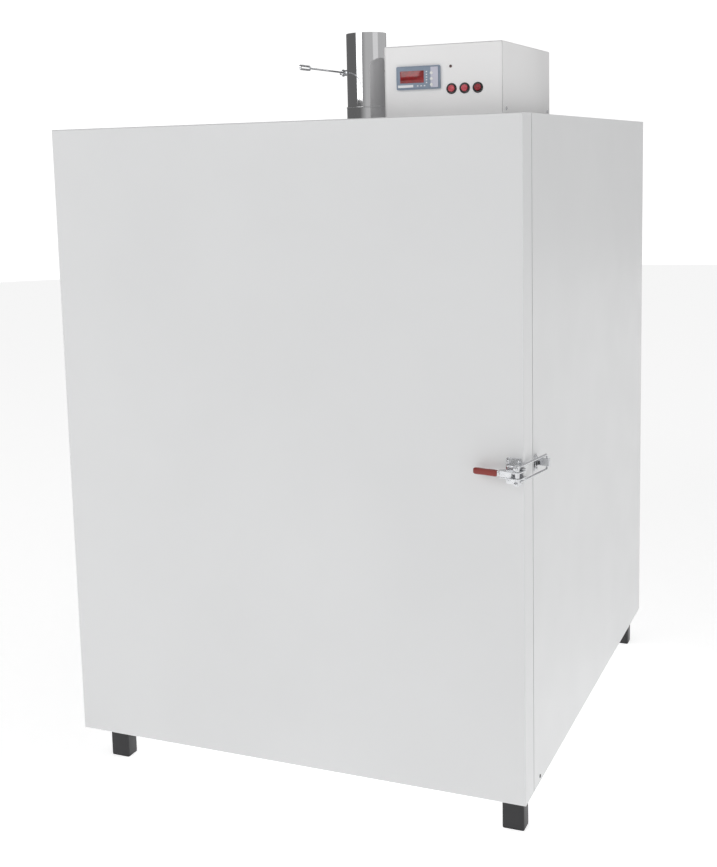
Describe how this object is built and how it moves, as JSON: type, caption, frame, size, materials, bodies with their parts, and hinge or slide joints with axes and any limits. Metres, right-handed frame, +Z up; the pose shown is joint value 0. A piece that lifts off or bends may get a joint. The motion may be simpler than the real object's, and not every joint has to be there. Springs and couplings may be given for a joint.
{
  "type": "drying cabinet",
  "caption": "Large drying cabinet with one insulated door and toggle latch, roof control box, exhaust tube with damper, shelves, fan and heaters.",
  "frame": {"origin": "on the floor, below the middle of the whole cabinet's outline", "axes": "+Z up; the door faces -Y; the toggle latch is on the +X side"},
  "size_m": [1.1688, 1.3538, 1.751],
  "materials": {
    "white_coat": "smooth satin powder coat",
    "black_coat": "satin black coat",
    "galvanised": "dull galvanised sheet",
    "stainless": "brushed stainless",
    "polished": "mirror polished stainless",
    "zinc": "bright zinc plating",
    "steel": "ground steel",
    "heater_sheath": "dull heater sheath",
    "insulation": "mineral wool",
    "silicone": "red-brown silicone",
    "black_plastic": "fine matt",
    "grey_plastic": "fine matt blue-grey",
    "window_red": "clear red plastic over a dark display",
    "key_white": "smooth white plastic",
    "lamp_red": "dark red lens",
    "rocker_red": "translucent red plastic",
    "terminal_cream": "moulded insulator",
    "relay_alu": "extruded fins",
    "grip_red": "dipped brick-red plastic",
    "motor_coat": "dark grey machine paint"
  },
  "bodies": {
    "cabinet": {"front_frame": "white_coat", "right_side_panel": "white_coat", "left_side_panel": "white_coat", "top_panel": "white_coat", "bottom_panel": "white_coat", "rear_panel": "white_coat", "rear_service_cover": "white_coat", "rear_bulkhead": "galvanised", "chamber_liner": "stainless", "wall_insulation": "insulation", "legs": "black_coat", "plastic_plugs": "black_plastic", "hinge_frame_leaves": "zinc", "hinge_pins": "steel", "exhaust_collar": "polished", "exhaust_tube": "polished", "control_box_chassis": "white_coat", "control_box_cover": "white_coat", "controller_case": "grey_plastic", "controller_window": "window_red", "pilot_lamp": "lamp_red", "switch_housings": "black_plastic", "terminal_block": "terminal_cream", "heater_relay": "relay_alu", "cable_gland": "black_plastic", "shelf_uprights": "stainless", "shelf_runners": "stainless", "shelf_lower": "stainless", "shelf_middle": "stainless", "shelf_upper": "stainless", "air_baffle": "stainless", "heater_elements": "heater_sheath", "temperature_probe": "stainless", "fan_motor": "motor_coat", "latch_catch": "zinc"},
    "door": {"door_skin": "white_coat", "door_inner_panel": "stainless", "door_insulation": "insulation", "door_gasket": "silicone", "hinge_door_leaves": "zinc", "latch_base": "zinc", "latch_pivot_pin": "steel"},
    "handle": {"latch_handle": "zinc", "latch_grip": "grip_red"},
    "bail": {"latch_bail": "zinc", "bail_trunnion": "zinc", "bail_nuts": "zinc"},
    "damper": {"damper_plate": "stainless", "damper_shaft": "steel", "damper_lever": "zinc"},
    "fan": {"fan_impeller": "galvanised", "fan_shaft": "steel"},
    "rocker_1": {"switch_rocker_1": "rocker_red"},
    "rocker_2": {"switch_rocker_2": "rocker_red"},
    "rocker_3": {"switch_rocker_3": "rocker_red"},
    "key_1": {"controller_key_1": "key_white"},
    "key_2": {"controller_key_2": "key_white"},
    "key_3": {"controller_key_3": "key_white"}
  },
  "joints": [
    {"name": "door_swing", "type": "hinge", "parent": "cabinet", "child": "door", "pos_m": [-0.57544, -0.55664, 0.83], "axis": [0, 0, -1], "range_deg": [0, 180]},
    {"name": "latch_swing", "type": "hinge", "parent": "door", "child": "handle", "pos_m": [0.55656, -0.64264, 0.833], "axis": [0, 0, 1], "range_deg": [0, 110]},
    {"name": "bail_swing", "type": "hinge", "parent": "handle", "child": "bail", "pos_m": [0.55036, -0.66264, 0.833], "axis": [0, 0, 1], "range_deg": [-99, 0]},
    {"name": "damper_turn", "type": "hinge", "parent": "cabinet", "child": "damper", "pos_m": [0.14056, -0.41464, 1.668], "axis": [-1, 0, 0], "range_deg": [0, 90]},
    {"name": "fan_spin", "type": "hinge", "parent": "cabinet", "child": "fan", "pos_m": [-0.00544, 0.43536, 0.83], "axis": [0, 1, 0], "continuous": true},
    {"name": "rocker_1_tilt", "type": "hinge", "parent": "cabinet", "child": "rocker_1", "pos_m": [0.38236, -0.54564, 1.6158], "axis": [1, 0, 0], "range_deg": [0, 20]},
    {"name": "rocker_2_tilt", "type": "hinge", "parent": "cabinet", "child": "rocker_2", "pos_m": [0.41076, -0.54564, 1.6158], "axis": [1, 0, 0], "range_deg": [0, 20]},
    {"name": "rocker_3_tilt", "type": "hinge", "parent": "cabinet", "child": "rocker_3", "pos_m": [0.43916, -0.54564, 1.6158], "axis": [1, 0, 0], "range_deg": [0, 20]},
    {"name": "key_1_press", "type": "slide", "parent": "cabinet", "child": "key_1", "axis": [0, 1, 0], "range_m": [0, 0.0008], "stiffness_N_per_m": 1200},
    {"name": "key_2_press", "type": "slide", "parent": "cabinet", "child": "key_2", "axis": [0, 1, 0], "range_m": [0, 0.0008], "stiffness_N_per_m": 1200},
    {"name": "key_3_press", "type": "slide", "parent": "cabinet", "child": "key_3", "axis": [0, 1, 0], "range_m": [0, 0.0008], "stiffness_N_per_m": 1200}
  ],
  "couplings": [
    {"joint": "bail_swing", "follows": "latch_swing", "ratio": -0.9}
  ]
}
